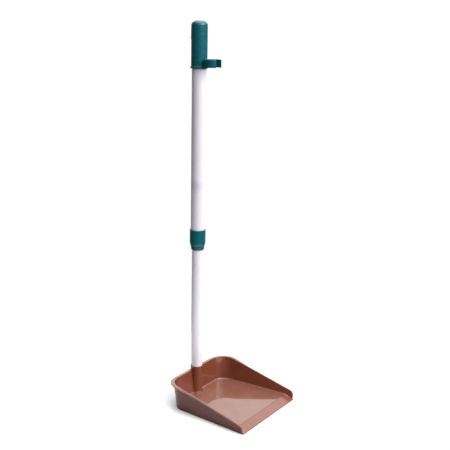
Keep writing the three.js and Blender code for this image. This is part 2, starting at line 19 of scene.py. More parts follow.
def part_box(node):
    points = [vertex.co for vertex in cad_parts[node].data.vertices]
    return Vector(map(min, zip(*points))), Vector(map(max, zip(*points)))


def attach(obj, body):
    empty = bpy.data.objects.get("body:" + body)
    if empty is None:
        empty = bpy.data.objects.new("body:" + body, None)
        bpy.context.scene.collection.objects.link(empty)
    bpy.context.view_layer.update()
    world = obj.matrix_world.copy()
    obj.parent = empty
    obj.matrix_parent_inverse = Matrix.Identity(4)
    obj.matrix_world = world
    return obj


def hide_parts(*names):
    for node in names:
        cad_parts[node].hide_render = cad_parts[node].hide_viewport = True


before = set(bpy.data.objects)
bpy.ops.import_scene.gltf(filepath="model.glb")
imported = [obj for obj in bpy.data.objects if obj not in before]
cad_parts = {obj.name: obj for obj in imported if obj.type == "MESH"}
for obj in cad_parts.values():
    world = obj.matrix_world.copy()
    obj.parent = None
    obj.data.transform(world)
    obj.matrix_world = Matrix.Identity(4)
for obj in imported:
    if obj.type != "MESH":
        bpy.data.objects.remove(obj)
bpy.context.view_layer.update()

LOG = logging.getLogger("dustpan")
MM = 0.001
Array = np.ndarray
Inputs = dict[str | int, Any] | list[Any]
Tree = bpy.types.NodeTree
Node = bpy.types.Node
Stretch = tuple[float, float, float]


# ------------------------------------------------------------------ shapes in numpy

def parabola(start: Array, corner: Array, end: Array, t: Array) -> Array:
    """The curve from start by corner to end: (1-t)^2 a + 2t(1-t) c + t^2 b."""
    return (1 - t) ** 2 * start + 2 * t * (1 - t) * corner + t ** 2 * end


def smooth_step(value: Array) -> Array:
    """Runs from 0 to 1 as the value does, level at both ends: 3v^2 - 2v^3."""
    held = np.clip(value, 0, 1)
    return held * held * (3 - 2 * held)


def soft_min(first: Array, second: Array, blend: float) -> Array:
    """The lower of two values, with the change from one to the other rounded off."""
    return (first + second - np.sqrt((first - second) ** 2 + blend ** 2)) / 2


def full_turn(segments: int) -> Array:
    """Angles evenly spaced round a full turn."""
    return np.linspace(0, 2 * np.pi, segments, endpoint=False)


def rectangle(left: float, right: float, low: float, high: float) -> Array:
    """The four corners of an upright rectangle."""
    return np.array([[left, low], [right, low], [right, high], [left, high]])


def soften(corners: Array, radii: Array | float, steps: int = 4,
           closed: bool = False) -> tuple[Array, Array]:
    """Rounds the corners of a flat line with short parabolas.

    Each parabola runs between points on the corner's two sides, at the corner's radius or
    at 45 % of a shorter side.

    Args:
        corners: the line's corners, one [x, y] row each.
        radii: how far from each corner the rounding starts; 0 leaves the corner sharp.
        steps: spans in each rounding.
        closed: True if the line runs back to its first corner.

    Returns:
        The rounded line, and for each of its points a number that is 1 in the middle of a
        corner that turns left, -1 in one that turns right and 0 on the straights.
    """
    corners = np.asarray(corners, float)
    radii = np.broadcast_to(np.asarray(radii, float), len(corners)).copy()
    before, after = np.roll(corners, 1, axis=0), np.roll(corners, -1, axis=0)
    if not closed:
        radii[[0, -1]] = 0
    back, ahead = before - corners, after - corners
    back_length = np.maximum(np.linalg.norm(back, axis=1), 1e-9)
    ahead_length = np.maximum(np.linalg.norm(ahead, axis=1), 1e-9)
    reach = np.minimum(radii, 0.45 * np.minimum(back_length, ahead_length))
    start = corners + back * (reach / back_length)[:, None]
    end = corners + ahead * (reach / ahead_length)[:, None]
    t = np.linspace(0, 1, steps + 1)[None, :, None]
    curve = parabola(start[:, None], corners[:, None], end[:, None], t)
    turn = np.sign(back[:, 1] * ahead[:, 0] - back[:, 0] * ahead[:, 1])
    bend = 4 * t[..., 0] * (1 - t[..., 0]) * (turn * (reach > 0))[:, None]
    keep = np.ones(bend.shape, bool)
    keep[reach <= 0, 1:] = False
    return curve[keep], bend[keep]


def densify(line: Array, bend: Array, longest: float) -> tuple[Array, Array]:
    """Adds points along a line, evenly, so that no span is longer than a length.

    Args:
        line: the line's points, one row each.
        bend: a number for each point, which is carried along in proportion.
        longest: the longest span.

    Returns:
        The denser line and its numbers.
    """
    length = np.linalg.norm(np.diff(line, axis=0), axis=1)
    pieces = np.maximum(np.ceil(length / longest).astype(int), 1)
    start = np.repeat(np.arange(len(length)), pieces)
    within = np.arange(pieces.sum()) - np.repeat(np.cumsum(pieces) - pieces, pieces)
    share = (within / pieces[start])[:, None]
    dense = line[start] * (1 - share) + line[start + 1] * share
    flat = bend[start] * (1 - share[:, 0]) + bend[start + 1] * share[:, 0]
    return np.vstack([dense, line[-1:]]), np.append(flat, bend[-1])


def outline(corners: Array, radii: Array | float, steps: int,
            longest: float) -> tuple[Array, Array]:
    """Rounds the corners of a closed line and divides its long spans.

    Args:
        corners: the line's corners, one [x, y] row each.
        radii: how far from each corner its rounding starts.
        steps: spans in each rounding.
        longest: the longest span.

    Returns:
        The line, without its first point again at its end, and its bends as in soften.
    """
    line, bend = soften(corners, radii, steps, closed=True)
    line, bend = densify(np.vstack([line, line[:1]]), np.append(bend, bend[:1]), longest)
    return line[:-1], bend[:-1]


def around(angle: Array, radius: Array, height: Array, centre_y: float = 0.0) -> Array:
    """Carries a profile round an upright axis: (r cos a, y0 + r sin a, z).

    Args:
        angle: the angle of each row.
        radius: the radius of each column, or of each point.
        height: the height of each column, or of each point.
        centre_y: where the axis stands.

    Returns:
        The points, rows by columns by 3.
    """
    turn = angle[:, None]
    x, y = radius * np.cos(turn), centre_y + radius * np.sin(turn)
    return np.stack([x, y, np.broadcast_to(height, x.shape)], axis=2)


def laid_over(turned: Array, height: float) -> Array:
    """A turned grid tipped until its axis points backwards at a height."""
    return turned[..., [0, 2, 1]] * [-1.0, 1.0, 1.0] + [0.0, 0.0, height]


@dataclass
class Skin:
    """A closed surface gathered from grids of points.

    Each point carries its wear: 1 on an outer edge, -1 in an inner corner, 0 on a plain
    face. Points that fall together are made one when the mesh is put down.
    """

    name: str
    crease_degrees: float = 38.0
    segments: int = 96
    points: list[Array] = field(default_factory=list)
    wear: list[Array] = field(default_factory=list)
    outside: list[Array] = field(default_factory=list)
    quads: list[Array] = field(default_factory=list)
    rings: list[Array] = field(default_factory=list)
    count: int = 0

    def lattice(self, grid: Array, wear: Array | float = 0.0, wrap_rows: bool = False,
                wrap_columns: bool = False, outward: bool = True,
                outside: Array | float = 0.0) -> Array:
        """Adds a grid of quads.

        Args:
            grid: points in millimetres, rows by columns by 3.
            wear: the wear of each point or column, or one value for all.
            wrap_rows: True to join the last row to the first.
            wrap_columns: True to join the last column to the first.
            outward: False turns the faces round.
            outside: 1 on the matt outside of a moulding, where its finish paints shade, 0 on its
                polished inside.

        Returns:
            The numbers of the grid's points.
        """
        rows, columns = grid.shape[:2]
        numbers = self.count + np.arange(rows * columns).reshape(rows, columns)
        self.points.append(grid.reshape(-1, 3))
        self.wear.append(np.broadcast_to(wear, (rows, columns)).reshape(-1))
        self.outside.append(np.broadcast_to(outside, (rows, columns)).reshape(-1))
        self.count += rows * columns
        down = np.roll(numbers, -1, axis=0) if wrap_rows else numbers[1:]
        here = numbers if wrap_rows else numbers[:-1]
        if wrap_columns:
            sides = (here, down, np.roll(down, -1, axis=1), np.roll(here, -1, axis=1))
        else:
            sides = (here[:, :-1], down[:, :-1], down[:, 1:], here[:, 1:])
        quads = np.stack([side.reshape(-1) for side in sides], axis=1)
        self.quads.append(quads if outward else quads[:, ::-1])
        return numbers

    def lid(self, ring: Array, outward: bool = True) -> None:
        """Closes a ring of point numbers with one face."""
        self.rings.append(ring if outward else ring[::-1])

    def strap(self, grid: Array, wear: Array, outward: bool = True) -> None:
        """Adds a closed section that was carried along a path, and closes its two ends.

        Args:
            grid: points in millimetres, one row for each place along the path.
            wear: the wear of each of the section's points.
            outward: False turns the faces round.
        """
        rows = self.lattice(grid, wear, wrap_columns=True, outward=outward)
        self.lid(rows[0], not outward)
        self.lid(rows[-1], outward)

    def turn(self, profile: Array, bend: Array) -> None:
        """Turns a closed profile of [radius, height] rows about the pole's axis."""
        grid = around(full_turn(self.segments), profile[:, 0], profile[:, 1])
        self.lattice(grid, bend, wrap_rows=True, wrap_columns=True)

    def faces(self, same: Array) -> list[list[int]]:
        """The faces, once points that fall together have one number.

        Args:
            same: the new number of each point.

        Returns:
            Every face's point numbers: a quad with one side gone is a triangle, and one
            with more gone is left out.
        """
        quads = same[np.vstack(self.quads)]
        doubled = quads == np.roll(quads, -1, axis=1)
        crossed = (quads[:, 0] == quads[:, 2]) | (quads[:, 1] == quads[:, 3])
        flat = crossed | (doubled.sum(axis=1) > 1)
        whole = quads[~doubled.any(axis=1) & ~flat]
        folded = ~flat & (doubled.sum(axis=1) == 1)
        corners = quads[folded][~doubled[folded]].reshape(-1, 3)
        loops = [same[ring] for ring in self.rings]
        lids = [loop[loop != np.roll(loop, -1)].tolist() for loop in loops]
        return whole.tolist() + corners.tolist() + lids

    def lay_down(self, finish: "Finishes", body: str, slot: str, node: str) -> None:
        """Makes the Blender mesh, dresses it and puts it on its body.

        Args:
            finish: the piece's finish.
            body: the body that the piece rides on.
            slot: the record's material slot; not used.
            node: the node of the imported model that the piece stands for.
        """
        points = np.vstack(self.points)
        _, first, same = np.unique(
            np.round(points, 5), axis=0, return_index=True, return_inverse=True)
        faces = self.faces(same.reshape(-1))
        mesh = bpy.data.meshes.new(self.name)
        mesh.from_pydata((points[first] * MM).tolist(), [], faces)
        for label, values in (("wear", self.wear), ("outside", self.outside)):
            attribute = mesh.attributes.new(label, "FLOAT", "POINT")
            attribute.data.foreach_set("value", np.concatenate(values)[first].astype(np.float32))
        mesh.polygons.foreach_set("use_smooth", np.ones(len(mesh.polygons), bool))
        mesh.set_sharp_from_angle(angle=math.radians(self.crease_degrees))
        mesh.update()
        piece = bpy.data.objects.new(self.name, mesh)
        bpy.context.scene.collection.objects.link(piece)
        mesh.materials.append(finish.value.material())
        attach(piece, body)
        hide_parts(node)
        LOG.info("%s: %d faces, on %s", self.name, len(faces), body)


# ---------------------------------------------------------------------- materials

def linear(hex_colour: str) -> tuple[float, float, float, float]:
    """An sRGB colour such as "#a0522d" as linear red, green, blue and alpha.

    Args:
        hex_colour: the colour.

    Returns:
        The linear colour.
    """
    parts = np.array([int(hex_colour[i:i + 2], 16) for i in (1, 3, 5)]) / 255
    low, high = parts / 12.92, ((parts + 0.055) / 1.055) ** 2.4
    return (*np.where(parts <= 0.04045, low, high).tolist(), 1.0)


def add(tree: Tree, kind: str, inputs: Inputs, **settings: Any) -> Node:
    """Adds one node with its settings, values and links.

    Args:
        tree: the node tree.
        kind: the node's Blender type after "ShaderNode".
        inputs: what goes into each input, by name or number, or in order: a value, a hex
            colour, an output, or a node whose first live output is meant.
        settings: the node's own settings.

    Returns:
        The node.
    """
    made = tree.nodes.new("ShaderNode" + kind)
    for name, value in settings.items():
        setattr(made, name, value)
    for name, value in inputs.items() if isinstance(inputs, dict) else enumerate(inputs):
        if isinstance(value, Node):
            value = next(output for output in value.outputs if output.enabled)
        if isinstance(value, bpy.types.NodeSocket):
            tree.links.new(value, made.inputs[name])
        else:
            made.inputs[name].default_value = linear(value) if isinstance(value, str) else value
    return made


@dataclass(frozen=True)
class Finish:
    """What every finish has: a name, its colours and its gloss."""

    name: str
    colour: str
    worn_colour: str
    dust_colour: str
    roughness: float
    roughness_spread: float
    ior: float = 1.5

    def material(self) -> bpy.types.Material:
        """The finish as a material, made the first time it is asked for.

        Returns:
            The material.
        """
        made = bpy.data.materials.get(self.name)
        if made is None:
            made = bpy.data.materials.new(self.name)
            made.use_nodes = True
            made.node_tree.nodes.clear()
            self.dress(made.node_tree)
        return made

    def place(self, tree: Tree, stretch: Stretch = (1, 1, 1)) -> Node:
        """The piece's own coordinates in metres, stretched along its axes."""
        where = add(tree, "TexCoord", {}).outputs["Object"]
        return add(tree, "Mapping", {"Vector": where, "Scale": stretch})

    def patches(self, tree: Tree, where: Node, size_mm: float, detail: float,
                band: list[float]) -> Node:
        """Soft patches: a noise with lumps of a size, cut to a band of its values.

        Args:
            tree: the node tree.
            where: the coordinates.
            size_mm: how far across a lump is.
            detail: how finely it breaks up.
            band: the noise's two values, and what they become.

        Returns:
            The patches' last node.
        """
        lumps = {"Vector": where, "Scale": 1 / (size_mm * MM), "Detail": detail}
        return add(tree, "MapRange", [add(tree, "TexNoise", lumps), *band])

    def relief(self, tree: Tree, where: Node, size_mm: float, detail: float,
               depth_mm: float, strength: float, **under: Node) -> Node:
        """A relief of lumps of a size, laid over the one under it.

        Args:
            tree: the node tree.
            where: the coordinates.
            size_mm: how far across a lump is.
            detail: how finely it breaks up.
            depth_mm: how deep it is.
            strength: how much of it shows.
            under: Normal, the relief below, if there is one.

        Returns:
            The relief's last node.
        """
        lumps = {"Vector": where, "Scale": 1 / (size_mm * MM), "Detail": detail}
        height = add(tree, "TexNoise", lumps)
        return add(tree, "Bump", {
            "Height": height, "Distance": depth_mm * MM, "Strength": strength, **under,
        })

    def worn(self, tree: Tree, base: Any, edge: float, dust: float) -> Node:
        """The colour rubbed paler on outer edges and dusty in inner corners, both in patches.

        Args:
            tree: the node tree.
            base: the colour so far.
            edge: the share of the worn colour on a fully rubbed edge.
            dust: the share of dust in a full corner.

        Returns:
            The last node, whose output is the colour.
        """
        wear = add(tree, "Attribute", {}, attribute_name="wear").outputs["Fac"]
        patches = self.patches(tree, self.place(tree), 6, 4, [0.35, 0.7, 0.25, 1])
        for turn, share, colour in ((1, edge, self.worn_colour), (-1, dust, self.dust_colour)):
            bent = add(tree, "MapRange", [wear, 0.2 * turn, turn, 0, share])
            shown = add(tree, "Math", [bent, patches], operation="MULTIPLY")
            base = add(tree, "Mix", {0: shown, 6: base, 7: colour}, data_type="RGBA")
        return base

    def close(self, tree: Tree, band: list[Any], inputs: Inputs) -> None:
        """Ends the tree in the shader; its roughness swings as a pattern does.

        Args:
            tree: the node tree.
            band: the pattern, and its values at the least and the most roughness.
            inputs: the shader's other inputs.
        """
        swing = self.roughness_spread
        gloss = add(tree, "MapRange", [*band, self.roughness - swing, self.roughness + swing])
        shader = add(tree, "BsdfPrincipled", {"Roughness": gloss, **inputs})
        add(tree, "OutputMaterial", {"Surface": shader})

    def dress(self, tree: Tree) -> None:
        """Fills the material's node tree; each finish has its own."""
        raise NotImplementedError


@dataclass(frozen=True)
class PolishedPolypropylene(Finish):
    """Polypropylene moulded against a polished tool.

    The surface mirrors its surroundings sharply at a low angle, over a body that scatters
    light softly. Cooling leaves broad shallow waves, and sweeping leaves fine scratches
    along the floor of the pan. The outside is duller, and its darker colour is painted
    shade, broken by faint upright draw lines where the tool slid off it. What faces up
    gets a painted sheen, a pale dust-coloured lift.
    """

    coat_roughness: float = 0.035
    coat_ior: float = 1.5
    outside_coat: float = 0.2
    body_gloss: float = 0.2
    # Painted shade: the outside's colour is darkened for the shade that it lies in.
    outside_painted_shade: str = "#4d2622"

    def dress(self, tree: Tree) -> None:
        """Colour with flow marks, painted shade on the outside, a painted sheen on what faces up, a
        soft body gloss and a sharp skin gloss.

        Args:
            tree: the node tree.
        """
        plain = self.place(tree)
        swept, drawn = self.place(tree, (1, 0.04, 1)), self.place(tree, (1, 1, 0.05))
        # Flow marks 45 mm across, specks of 0.9 mm, and a painted sheen on what faces up: a pale
        # dust-coloured lift in patches.
        flow = add(tree, "TexNoise", {
            "Vector": plain, "Scale": 1 / (45 * MM), "Detail": 3, "Distortion": 0.6,
        })
        marks = add(tree, "MapRange", [flow, 0.3, 0.7, 0, 0.16])
        specks = self.patches(tree, plain, 0.9, 2, [0.66, 0.74, 0, 0.12])
        normal = add(tree, "TexCoord", {}).outputs["Normal"]
        upward = add(tree, "SeparateXYZ", [normal]).outputs["Z"]
        level = add(tree, "MapRange", [upward, 0.8, 1, 0, 0.12])
        sheen_patches = add(tree, "MapRange", [flow, 0.3, 0.6, 0.6, 1])
        upward_painted_sheen = add(tree, "Math", [level, sheen_patches], operation="MULTIPLY")
        # Painted shade on the outside: a darker colour for the shade it lies in, broken by upright
        # draw lines of 1.6 mm.
        matt_and_shaded = add(tree, "Attribute", {}, attribute_name="outside").outputs["Fac"]
        lines = self.patches(tree, drawn, 1.6, 2, [0.4, 0.6, 0.75, 1])
        painted_shade_share = add(tree, "Math", [matt_and_shaded, lines], operation="MULTIPLY")
        colour = self.colour
        # The last two mixes paint light: a pale sheen on what faces up, and shade on the outside.
        for share, other in ((marks, self.worn_colour), (specks, self.dust_colour),
                             (upward_painted_sheen, self.dust_colour), (painted_shade_share, self.outside_painted_shade)):
            colour = add(tree, "Mix", {0: share, 6: colour, 7: other}, data_type="RGBA")
        # Scratches of 0.5 mm along the sweep, over waves of 38 mm.
        scratches = add(tree, "TexNoise", {"Vector": swept, "Scale": 1 / (0.5 * MM), "Detail": 5})
        waves = self.relief(tree, plain, 38, 1, 0.05, 0.12)
        bump = add(tree, "Bump", {
            "Height": scratches, "Distance": 0.012 * MM, "Strength": 0.35, "Normal": waves,
        })
        self.close(tree, [add(tree, "MapRange", [scratches, 0.6, 0.68, 0, 1]), 0, 1], {
            "Base Color": self.worn(tree, colour, 0.3, 0.25),
            "IOR": self.ior,
            "Specular IOR Level": self.body_gloss,
            "Coat Weight": add(tree, "MapRange", [matt_and_shaded, 0, 1, 1, self.outside_coat]),
            "Coat Roughness": self.coat_roughness,
            "Coat IOR": self.coat_ior,
            "Normal": bump,
            "Coat Normal": waves,
        })


@dataclass(frozen=True)
class PowderCoat(Finish):
    """Polyester powder coat baked on steel tube: an even satin skin with a fine orange peel.

    Hands and the sliding joint leave long faint grey rubs, and the coat wears through to a
    darker line at the tube's cut ends.
    """

    peel_mm: float = 1.4
    mark: tuple[float, float, float] = (-15.0, -1.0, 467.0)
    mark_reach: tuple[float, float, float] = (22.0, 22.0, 15.0)

    def grey_patch(self, tree: Tree) -> bpy.types.NodeSocket:
        """A soft grey patch on the upper tube: 1 at its middle, fading to 0 over its reach.

        Args:
            tree: the node tree.

        Returns:
            The patch's output.
        """
        scale = tuple(1 / (reach * MM) for reach in self.mark_reach)
        shift = tuple(-centre * MM * factor for centre, factor in zip(self.mark, scale))
        where = add(tree, "TexCoord", {}).outputs["Object"]
        held = add(tree, "Mapping", {"Vector": where, "Location": shift, "Scale": scale})
        ball = add(tree, "TexGradient", {"Vector": held}, gradient_type="SPHERICAL")
        return ball.outputs["Fac"]

    def dress(self, tree: Tree) -> None:
        """Satin white with orange peel, rubs along the tube and dull patches.

        Args:
            tree: the node tree.
        """
        plain, along = self.place(tree), self.place(tree, (1, 1, 0.05))
        rubs = self.patches(tree, along, 5, 4, [0.56, 0.72, 0, 0.35])
        handled = self.patches(tree, plain, 60, 3, [0.5, 0.7, 0, 1])
        mark = add(tree, "MapRange", [self.grey_patch(tree), 0, 0.7, 0, 0.5])
        uneven = add(tree, "MapRange", [handled, 0, 1, 0.7, 1])
        colour = self.colour
        for first, second in ((rubs, handled), (mark, uneven)):
            share = add(tree, "Math", [first, second], operation="MULTIPLY")
            colour = add(tree, "Mix", {0: share, 6: colour, 7: self.dust_colour}, data_type="RGBA")
        peel = self.relief(tree, plain, self.peel_mm, 2, 0.03, 0.3)
        self.close(tree, [self.patches(tree, plain, 9, 4, [0.3, 0.7, 0, 1]), 0, 1], {
            "Base Color": self.worn(tree, colour, 0.55, 0.4),
            "IOR": self.ior,
            "Normal": self.relief(tree, along, 0.35, 2, 0.006, 0.3, Normal=peel),
        })


@dataclass(frozen=True)
class SparkedPolypropylene(Finish):
    """Polypropylene moulded against a spark-eroded tool: a fine even grain and a soft gloss."""

    grain_mm: float = 0.45

    def dress(self, tree: Tree) -> None:
        """Deep colour, fine grain, and polish where the hand rubs it.

        Args:
            tree: the node tree.
        """
        plain = self.place(tree)
        flow = add(tree, "TexNoise", {
            "Vector": plain, "Scale": 1 / (22 * MM), "Detail": 3, "Distortion": 0.5,
        })
        marks = add(tree, "MapRange", [flow, 0.3, 0.7, 0, 0.18])
        deep = add(tree, "Mix", {0: marks, 6: self.colour, 7: self.worn_colour}, data_type="RGBA")
        waves = self.relief(tree, plain, 14, 1, 0.04, 0.25)
        self.close(tree, [self.patches(tree, plain, 7, 4, [0.3, 0.7, 0, 1]), 0, 1], {
            "Base Color": self.worn(tree, deep, 0.35, 0.3),
            "IOR": self.ior,
            "Normal": self.relief(tree, plain, self.grain_mm, 3, 0.01, 0.25, Normal=waves),
        })


@dataclass(frozen=True)
class NaturalAcetal(Finish):
    """Unpigmented acetal as moulded: waxy, milky and slightly see-through at thin edges."""

    def dress(self, tree: Tree) -> None:
        """Milky body with a little light inside it and faint turning marks.

        Args:
            tree: the node tree.
        """
        plain, rings = self.place(tree), self.place(tree, (0.05, 0.05, 1))
        clouds = self.patches(tree, plain, 8, 3, [0.3, 0.7, 0, 0.3])
        milky = add(tree, "Mix", {0: clouds, 6: self.colour, 7: self.worn_colour}, data_type="RGBA")
        self.close(tree, [clouds, 0, 0.3], {
            "Base Color": self.worn(tree, milky, 0.3, 0.3),
            "IOR": self.ior,
            "Subsurface Weight": 0.15,
            "Subsurface Scale": 2 * MM,
            "Normal": self.relief(tree, rings, 0.4, 2, 0.01, 0.3),
        })


@dataclass(frozen=True)
class ZincPlate(Finish):
    """Bright zinc plated on a cold-headed steel screw: grey metal with a faint bluish cast."""

    def dress(self, tree: Tree) -> None:
        """Plated metal, duller in patches, with the header's fine marks.

        Args:
            tree: the node tree.
        """
        plain = self.place(tree)
        bloom = self.patches(tree, plain, 1.6, 4, [0.35, 0.7, 0, 1])
        dulled = add(tree, "Mix", {0: bloom, 6: self.colour, 7: self.dust_colour}, data_type="RGBA")
        self.close(tree, [bloom, 0, 1], {
            "Base Color": self.worn(tree, dulled, 0.4, 0.6),
            "Metallic": 1.0,
            "Normal": self.relief(tree, plain, 0.3, 3, 0.01, 0.4),
        })


@dataclass(frozen=True)
class SeamlessPaper(Finish):
    """Matt white paper: the floor that the object stands on."""

    def dress(self, tree: Tree) -> None:
        """White with a faint tooth.

        Args:
            tree: the node tree.
        """
        plain = self.place(tree)
        tooth = self.patches(tree, plain, 3, 4, [0.3, 0.7, 0, 0.05])
        shader = add(tree, "BsdfPrincipled", {
            "Base Color": add(tree, "Mix", {0: tooth, 6: self.colour, 7: self.dust_colour},
                              data_type="RGBA"),
            "Roughness": self.roughness,
            "Specular IOR Level": 0.1,
            "Normal": self.relief(tree, plain, 0.8, 3, 0.02, 0.2),
        })
        add(tree, "OutputMaterial", {"Surface": shader})


class Finishes(Enum):
    """The finishes on this object and its stage."""

    # The pan's dust colour also paints a sheen on what faces up, and its outside colour, left at
    # its default, is painted shade.
    PAN = PolishedPolypropylene(
        "polished_polypropylene_brown", "#743a27", "#825039", "#a0938b", 0.45, 0.06)
    TUBE = PowderCoat("powder_coat_white", "#dedbe3", "#8f9196", "#a9aab2", 0.34, 0.06)
    GRIP = SparkedPolypropylene(
        "sparked_polypropylene_teal", "#02525c", "#14676f", "#325f64", 0.3, 0.06)
    LOCK = NaturalAcetal("natural_acetal", "#dad6ca", "#e6e3da", "#a8a296", 0.42, 0.08, 1.48)
    SCREW = ZincPlate("bright_zinc_plate", "#c3c6cb", "#d9dbde", "#8d9095", 0.3, 0.08)
    FLOOR = SeamlessPaper("seamless_white_paper", "#fafafa", "#ffffff", "#f2f2f2", 0.8, 0.0)


# -------------------------------------------------------------------------- parts

@dataclass
class Section:
    """The pan's cross-sections: one row for each station, gathered column by column.

    A column is an offset from the outline, a place along the pan, a height and a wear.
    """

    rim: Array
    up: Array
    share: Array
    droop: float
    blocks: list[Array] = field(default_factory=list)

    @property
    def width(self) -> int:
        """How many columns there are so far."""
        return sum(block.shape[1] for block in self.blocks)

    def put(self, offset: Array | float, forward: Array, height: Array,
            wear: Array | float = 0.0) -> None:
        """Adds columns.

        Args:
            offset: how far outwards from the outline.
            forward: the place along the pan.
            height: the height.
            wear: 1 on an outer edge, -1 in a corner, where the wall has its full height.
        """
        parts = np.broadcast_arrays(offset, forward, height, wear * self.share)
        self.blocks.append(np.stack(parts, axis=2))

    def hang(self, offset: Array | float, below: Array | float, wear: Array | float = 0.0) -> None:
        """Adds columns a depth below the rim line, along its normal, drooping outwards.

        Args:
            offset: how far outwards from the outline.
            below: the depth.
            wear: as in put.
        """
        sunk = below + self.droop * np.maximum(offset, 0)
        self.put(offset, self.rim[:, :1] - sunk * self.up[:, :1],
                 self.rim[:, 1:] - sunk * self.up[:, 1:], wear)

    def turn(self, start: tuple, corner: tuple, end: tuple, wear: float) -> None:
        """Adds a rounded corner as five columns.

        Args:
            start: offset and depth where it starts.
            corner: offset and depth of the sharp corner.
            end: offset and depth where it ends.
            wear: the wear of its middle.
        """
        t = np.linspace(0, 1, 5)[None]
        offset, below = (parabola(*path, t) for path in zip(start, corner, end))
        self.hang(offset, below, wear * 4 * t * (1 - t))


@dataclass
class Pan:
    """The pan: one moulding with its floor, walls, flange, lip and socket."""

    back_half: float = 89.5
    front_half: float = 97.0
    back_y: float = -2.0
    depth: float = 191.5
    wall: float = 2.2
    full_wall: float = 14.0
    corner: float = 29.0
    draft: float = 0.118
    rim_back: float = 55.7
    rim_front: float = 17.8
    rim_level: float = 24.4
    rim_blend: float = 1.2
    nose: float = 11.0
    nose_setback: float = 2.0
    nose_reach: float = 28.0
    nose_stations: int = 48
    flange_back: float = 6.5
    flange_side: float = 1.3
    flange_fade: float = 45.0
    flange_thickness: float = 2.0
    flange_fillet: float = 1.2
    floor_thickness: float = 2.2
    floor_back: float = 3.8
    floor_fold: float = 8.0
    fold_blend: float = 0.35
    fold_margin: float = 1.7
    crease_depth: float = 0.95
    crease_half: float = 0.65
    lip_length: float = 20.4
    lip_edge: float = 1.2
    lip_roll: float = 0.7
    fillet: float = 3.2
    edge: float = 0.9
    skirt_edge: float = 0.6
    under_step: float = 0.4
    droop: float = 0.12
    socket_height: float = 64.7
    socket_radius: float = 13.8
    socket_bore: float = 12.5
    socket_floor: float = 3.0
    socket_draft: float = 0.3
    flare: float = 2.6
    flare_height: float = 3.2
    boss_height: float = 28.0
    boss_radius: float = 5.0
    boss_foot: float = 0.4
    boss_face: float = 14.4
    boss_bore: float = 1.8
    skin: Skin = field(default_factory=lambda: Skin("pan_moulding"))

    def __post_init__(self) -> None:
        """Works out where the lip, the fold and the rim's parts lie along the pan."""
        self.lip_y = self.back_y - self.depth
        self.fold_y = self.lip_y + self.lip_length
        self.front_y = self.lip_y + self.nose_setback
        self.nose_back = self.lip_y + self.nose_reach
        self.corner_y = self.back_y - self.corner
        self.level_y = self.back_y - self.rim_level

    def half(self, y: Array | float) -> Array:
        """Half of the outside width on the floor, a straight line from back to front."""
        return self.back_half + (self.front_half - self.back_half) * (self.back_y - y) / self.depth

    def floor_top(self, y: Array) -> Array:
        """Height of the floor: the lower of two planes, creased where they meet.

        Args:
            y: places along the pan.

        Returns:
            The heights, which roll down over the lip's edge.
        """
        inner_share = (self.back_y - y) / (self.back_y - self.fold_y)
        inner = self.floor_back + (self.floor_fold - self.floor_back) * inner_share
        lip = self.lip_edge + (self.floor_fold - self.lip_edge) * (y - self.lip_y) / self.lip_length
        roll = self.lip_roll * np.clip(1 - (y - self.lip_y) / self.lip_roll, 0, 1) ** 2
        crease = self.crease_depth * np.exp(-((y - self.fold_y) / self.crease_half) ** 2)
        return soft_min(inner, lip, self.fold_blend) - roll - crease

    def floor_under(self, y: Array) -> Array:
        """Height of the floor's underside: a thickness below its top, and never under 0."""
        steep = np.hypot(1, (self.floor_fold - self.lip_edge) / self.lip_length)
        return np.maximum(self.floor_top(y) - self.floor_thickness * steep, 0.0)

    def rim_height(self, y: Array) -> Array:
        """Height of the rim behind the nose: a slope that softly meets a level."""
        slope = (self.rim_back - self.rim_front) / (self.level_y - self.front_y)
        return soft_min(self.rim_back, self.rim_front + (y - self.front_y) * slope, self.rim_blend)

    def rim_line(self) -> tuple[Array, Array]:
        """The rim from the lip, up the nose and back to where the side wall is plain.

        Returns:
            [y, z] rows evenly spaced along the line, and the line's upward normal at each.
        """
        slope = math.atan2(self.rim_back - self.rim_front, self.level_y - self.front_y)
        centre_y = self.front_y + self.nose
        touch_y = centre_y - self.nose * math.sin(slope)
        touch_z = self.rim_front + (touch_y - self.front_y) * math.tan(slope)
        centre_z = touch_z - self.nose * math.cos(slope)
        turn = np.linspace(np.pi, np.pi / 2 + slope, 24)
        arc = [centre_y, centre_z] + self.nose * np.stack([np.cos(turn), np.sin(turn)], axis=1)
        foot = float(self.floor_top(np.array(self.front_y)))
        end = [self.nose_back, touch_z + (self.nose_back - touch_y) * math.tan(slope)]
        line = np.vstack([[[self.front_y, foot]], arc, [end]])
        run = np.append(0, np.cumsum(np.linalg.norm(np.diff(line, axis=0), axis=1)))
        even = np.linspace(0, run[-1], self.nose_stations)
        place = np.stack([np.interp(even, run, line[:, axis]) for axis in (0, 1)], axis=1)
        tangent = np.gradient(place, axis=0)
        tangent /= np.linalg.norm(tangent, axis=1)[:, None]
        return place, np.stack([-tangent[:, 1], tangent[:, 0]], axis=1)

    def half_shell(self) -> tuple[Array, Array, Array]:
        """The right half of the pan as a grid.

        A row is one station along the outline, from the lip's edge round the corner to the
        middle of the back. A row's points run from the middle of the floor's top, out over
        the fillet, up the wall, over the flange, down the outside, and back under the
        floor. A point is the outline's point moved outwards by its offset plus the draft
        times its height.

        Returns:
            The grid, the wear of its points, and 1 for those on the matt outside, which the finish
            paints in shade.
        """
